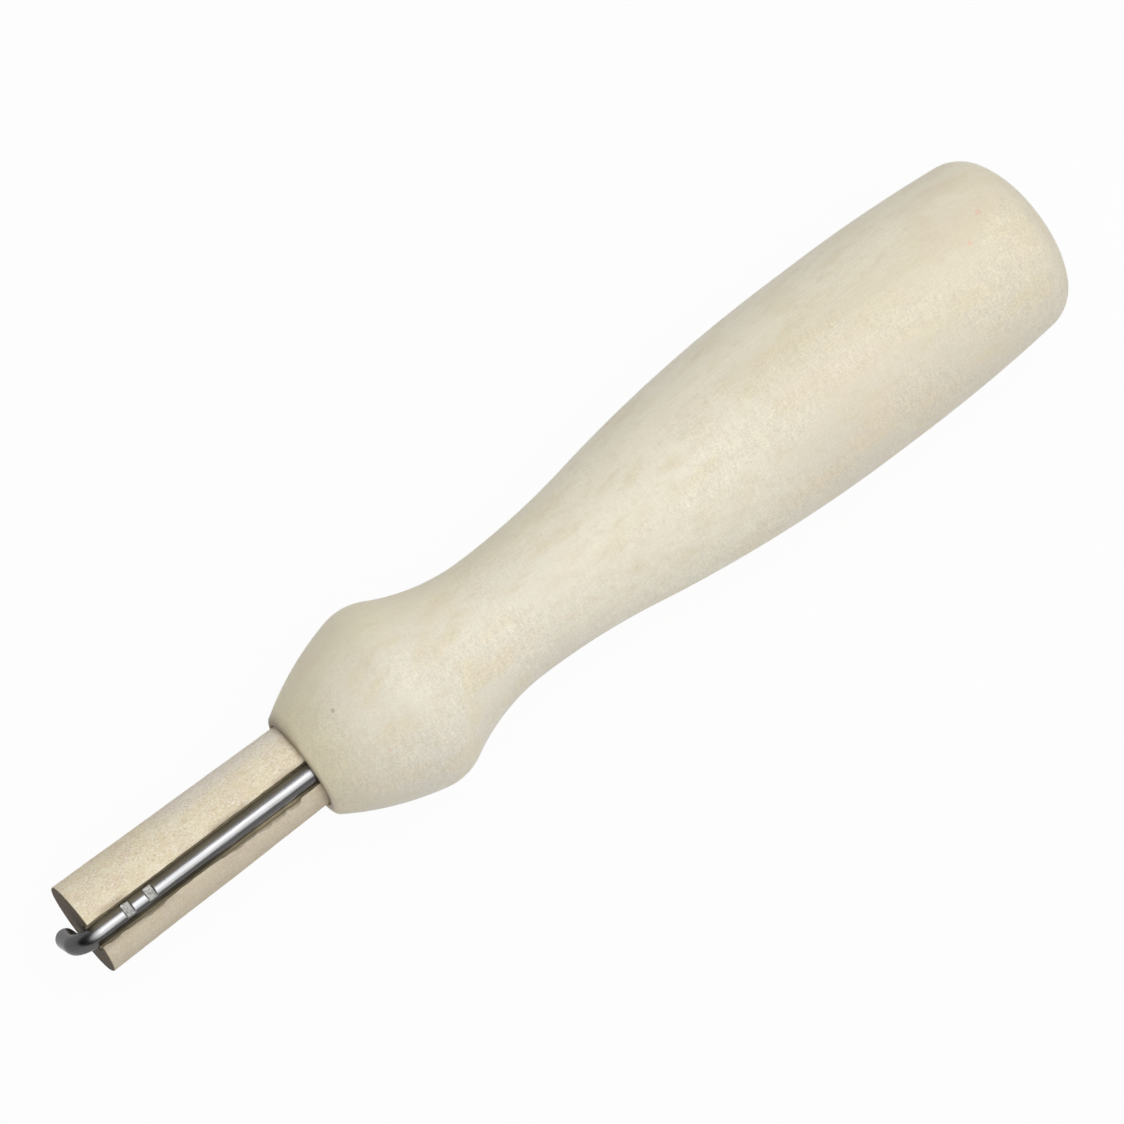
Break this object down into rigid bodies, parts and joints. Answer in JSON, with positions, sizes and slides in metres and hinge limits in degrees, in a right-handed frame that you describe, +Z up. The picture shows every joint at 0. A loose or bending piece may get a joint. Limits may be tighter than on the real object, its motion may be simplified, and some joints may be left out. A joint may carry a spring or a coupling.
{
  "type": "felting needle holder",
  "caption": "Turned wooden handle with a bore, a slotted wooden plug wedged in its mouth, and a felting needle stowed point-inwards in the plug's slot.",
  "frame": {"origin": "bottom centre of the tool's bounding box: under the middle of its length, on the surface that the handle's belly lies on", "axes": "+X along the tool from the handle's butt to the needle's crank, +Z up, with the tool lying on its side and the needle's slot on top"},
  "size_m": [0.1027, 0.018, 0.018],
  "materials": {
    "handle_wood": "fine sanded pale hardwood with a thin satin clear coat",
    "plug_wood": "raw, unfinished hardwood dowel, matte and slightly fibrous",
    "needle_steel": "bright drawn steel wire, smooth"
  },
  "bodies": {
    "handle": {"handle": "handle_wood"},
    "plug": {"slotted_plug": "plug_wood"},
    "needle": {"felting_needle": "needle_steel"}
  },
  "joints": [
    {"name": "plug_pull", "type": "slide", "parent": "handle", "child": "plug", "axis": [1, 0, 0], "range_m": [0, 0.06]},
    {"name": "needle_draw", "type": "slide", "parent": "plug", "child": "needle", "axis": [1, 0, 0], "range_m": [0, 0.08]}
  ]
}
